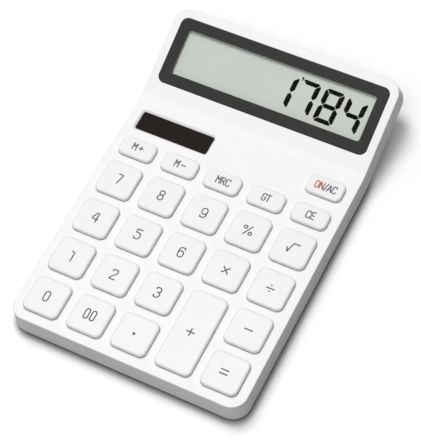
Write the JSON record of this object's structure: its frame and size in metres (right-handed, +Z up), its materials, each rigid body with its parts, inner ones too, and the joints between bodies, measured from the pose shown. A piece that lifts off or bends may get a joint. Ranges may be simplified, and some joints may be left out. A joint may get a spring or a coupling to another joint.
{
  "type": "desk calculator",
  "caption": "Flat desk calculator with a bent-up display section, low square push keys in a grid, a solar cell and a slide-out battery door at the rear.",
  "frame": {"origin": "centre of the base on the desk, under the middle of the overall box", "axes": "+X to the user's right, +Y from the user towards the display, +Z up"},
  "size_m": [0.105, 0.1588, 0.027],
  "materials": {
    "case_white": "fine satin moulding",
    "base_white": "fine matte moulding",
    "key_white": "smooth satin moulding",
    "frame_grey": "smooth satin, dark grey",
    "window_clear": "clear and glossy",
    "display_grey": "pale grey-green film",
    "display_glass": "clear glass",
    "reflector_silver": "silvered film",
    "tray_white": "plain moulding",
    "flex_amber": "amber film",
    "screw_steel": "plated steel",
    "contact_steel": "nickel-plated spring steel",
    "solar_brown": "dark brown film under glass",
    "wire_red": "insulated wire",
    "wire_black": "insulated wire",
    "mat_silicone": "soft grey silicone",
    "carbon_black": "carbon-filled",
    "board_green": "lacquered laminate",
    "resin_black": "cast resin",
    "ceramic_tan": "ceramic",
    "sleeve_blue": "plastic sleeve over aluminium",
    "cell_jacket": "printed jacket over a steel can",
    "foot_rubber": "matte rubber"
  },
  "bodies": {
    "case": {"top_case": "case_white", "bottom_case": "base_white", "display_frame": "frame_grey", "display_window": "window_clear", "front_polarizer": "display_grey", "lcd_front_glass": "display_glass", "lcd_rear_glass": "display_glass", "rear_reflector": "reflector_silver", "lcd_holder": "tray_white", "lcd_flex": "flex_amber", "holder_screws": "screw_steel", "solar_cell": "solar_brown", "solar_wires": "wire_red", "key_mat": "mat_silicone", "contact_pills": "carbon_black", "contact_pads": "carbon_black", "main_board": "board_green", "chip_cover": "resin_black", "board_parts": "ceramic_tan", "storage_capacitor": "sleeve_blue", "board_screws": "screw_steel", "case_screws": "screw_steel", "battery_cell": "cell_jacket", "battery_spring": "contact_steel", "battery_plate": "contact_steel", "battery_wires": "wire_black", "front_feet": "foot_rubber", "rear_feet": "foot_rubber"},
    "battery_door": {"battery_door": "base_white"},
    "key_0": {"key_0": "key_white"},
    "key_00": {"key_00": "key_white"},
    "key_point": {"key_point": "key_white"},
    "key_equals": {"key_equals": "key_white"},
    "key_1": {"key_1": "key_white"},
    "key_2": {"key_2": "key_white"},
    "key_3": {"key_3": "key_white"},
    "key_minus": {"key_minus": "key_white"},
    "key_4": {"key_4": "key_white"},
    "key_5": {"key_5": "key_white"},
    "key_6": {"key_6": "key_white"},
    "key_times": {"key_times": "key_white"},
    "key_divide": {"key_divide": "key_white"},
    "key_7": {"key_7": "key_white"},
    "key_8": {"key_8": "key_white"},
    "key_9": {"key_9": "key_white"},
    "key_percent": {"key_percent": "key_white"},
    "key_root": {"key_root": "key_white"},
    "key_plus": {"key_plus": "key_white"},
    "key_memory_plus": {"key_memory_plus": "key_white"},
    "key_memory_minus": {"key_memory_minus": "key_white"},
    "key_memory_recall": {"key_memory_recall": "key_white"},
    "key_grand_total": {"key_grand_total": "key_white"},
    "key_clear_entry": {"key_clear_entry": "key_white"},
    "key_on_clear": {"key_on_clear": "key_white"}
  },
  "joints": [
    {"name": "press_0", "type": "slide", "parent": "case", "child": "key_0", "axis": [0, 0, -1], "range_m": [0, 0.0015], "stiffness_N_per_m": 400, "springref_m": -0.001, "deforming": ["key_mat", "contact_pills"]},
    {"name": "press_00", "type": "slide", "parent": "case", "child": "key_00", "axis": [0, 0, -1], "range_m": [0, 0.0015], "stiffness_N_per_m": 400, "springref_m": -0.001, "deforming": ["key_mat", "contact_pills"]},
    {"name": "press_point", "type": "slide", "parent": "case", "child": "key_point", "axis": [0, 0, -1], "range_m": [0, 0.0015], "stiffness_N_per_m": 400, "springref_m": -0.001, "deforming": ["key_mat", "contact_pills"]},
    {"name": "press_equals", "type": "slide", "parent": "case", "child": "key_equals", "axis": [0, 0, -1], "range_m": [0, 0.0015], "stiffness_N_per_m": 400, "springref_m": -0.001, "deforming": ["key_mat", "contact_pills"]},
    {"name": "press_1", "type": "slide", "parent": "case", "child": "key_1", "axis": [0, 0, -1], "range_m": [0, 0.0015], "stiffness_N_per_m": 400, "springref_m": -0.001, "deforming": ["key_mat", "contact_pills"]},
    {"name": "press_2", "type": "slide", "parent": "case", "child": "key_2", "axis": [0, 0, -1], "range_m": [0, 0.0015], "stiffness_N_per_m": 400, "springref_m": -0.001, "deforming": ["key_mat", "contact_pills"]},
    {"name": "press_3", "type": "slide", "parent": "case", "child": "key_3", "axis": [0, 0, -1], "range_m": [0, 0.0015], "stiffness_N_per_m": 400, "springref_m": -0.001, "deforming": ["key_mat", "contact_pills"]},
    {"name": "press_minus", "type": "slide", "parent": "case", "child": "key_minus", "axis": [0, 0, -1], "range_m": [0, 0.0015], "stiffness_N_per_m": 400, "springref_m": -0.001, "deforming": ["key_mat", "contact_pills"]},
    {"name": "press_4", "type": "slide", "parent": "case", "child": "key_4", "axis": [0, 0, -1], "range_m": [0, 0.0015], "stiffness_N_per_m": 400, "springref_m": -0.001, "deforming": ["key_mat", "contact_pills"]},
    {"name": "press_5", "type": "slide", "parent": "case", "child": "key_5", "axis": [0, 0, -1], "range_m": [0, 0.0015], "stiffness_N_per_m": 400, "springref_m": -0.001, "deforming": ["key_mat", "contact_pills"]},
    {"name": "press_6", "type": "slide", "parent": "case", "child": "key_6", "axis": [0, 0, -1], "range_m": [0, 0.0015], "stiffness_N_per_m": 400, "springref_m": -0.001, "deforming": ["key_mat", "contact_pills"]},
    {"name": "press_times", "type": "slide", "parent": "case", "child": "key_times", "axis": [0, 0, -1], "range_m": [0, 0.0015], "stiffness_N_per_m": 400, "springref_m": -0.001, "deforming": ["key_mat", "contact_pills"]},
    {"name": "press_divide", "type": "slide", "parent": "case", "child": "key_divide", "axis": [0, 0, -1], "range_m": [0, 0.0015], "stiffness_N_per_m": 400, "springref_m": -0.001, "deforming": ["key_mat", "contact_pills"]},
    {"name": "press_7", "type": "slide", "parent": "case", "child": "key_7", "axis": [0, 0, -1], "range_m": [0, 0.0015], "stiffness_N_per_m": 400, "springref_m": -0.001, "deforming": ["key_mat", "contact_pills"]},
    {"name": "press_8", "type": "slide", "parent": "case", "child": "key_8", "axis": [0, 0, -1], "range_m": [0, 0.0015], "stiffness_N_per_m": 400, "springref_m": -0.001, "deforming": ["key_mat", "contact_pills"]},
    {"name": "press_9", "type": "slide", "parent": "case", "child": "key_9", "axis": [0, 0, -1], "range_m": [0, 0.0015], "stiffness_N_per_m": 400, "springref_m": -0.001, "deforming": ["key_mat", "contact_pills"]},
    {"name": "press_percent", "type": "slide", "parent": "case", "child": "key_percent", "axis": [0, 0, -1], "range_m": [0, 0.0015], "stiffness_N_per_m": 400, "springref_m": -0.001, "deforming": ["key_mat", "contact_pills"]},
    {"name": "press_root", "type": "slide", "parent": "case", "child": "key_root", "axis": [0, 0, -1], "range_m": [0, 0.0015], "stiffness_N_per_m": 400, "springref_m": -0.001, "deforming": ["key_mat", "contact_pills"]},
    {"name": "press_plus", "type": "slide", "parent": "case", "child": "key_plus", "axis": [0, 0, -1], "range_m": [0, 0.0015], "stiffness_N_per_m": 400, "springref_m": -0.001, "deforming": ["key_mat", "contact_pills"]},
    {"name": "press_memory_plus", "type": "slide", "parent": "case", "child": "key_memory_plus", "axis": [0, 0, -1], "range_m": [0, 0.0015], "stiffness_N_per_m": 400, "springref_m": -0.001, "deforming": ["key_mat", "contact_pills"]},
    {"name": "press_memory_minus", "type": "slide", "parent": "case", "child": "key_memory_minus", "axis": [0, 0, -1], "range_m": [0, 0.0015], "stiffness_N_per_m": 400, "springref_m": -0.001, "deforming": ["key_mat", "contact_pills"]},
    {"name": "press_memory_recall", "type": "slide", "parent": "case", "child": "key_memory_recall", "axis": [0, 0, -1], "range_m": [0, 0.0015], "stiffness_N_per_m": 400, "springref_m": -0.001, "deforming": ["key_mat", "contact_pills"]},
    {"name": "press_grand_total", "type": "slide", "parent": "case", "child": "key_grand_total", "axis": [0, 0, -1], "range_m": [0, 0.0015], "stiffness_N_per_m": 400, "springref_m": -0.001, "deforming": ["key_mat", "contact_pills"]},
    {"name": "press_clear_entry", "type": "slide", "parent": "case", "child": "key_clear_entry", "axis": [0, 0, -1], "range_m": [0, 0.0015], "stiffness_N_per_m": 400, "springref_m": -0.001, "deforming": ["key_mat", "contact_pills"]},
    {"name": "press_on_clear", "type": "slide", "parent": "case", "child": "key_on_clear", "axis": [0, 0, -1], "range_m": [0, 0.0015], "stiffness_N_per_m": 400, "springref_m": -0.001, "deforming": ["key_mat", "contact_pills"]},
    {"name": "door_slide", "type": "slide", "parent": "case", "child": "battery_door", "axis": [0, 1, 0], "range_m": [0, 0.0135]}
  ]
}
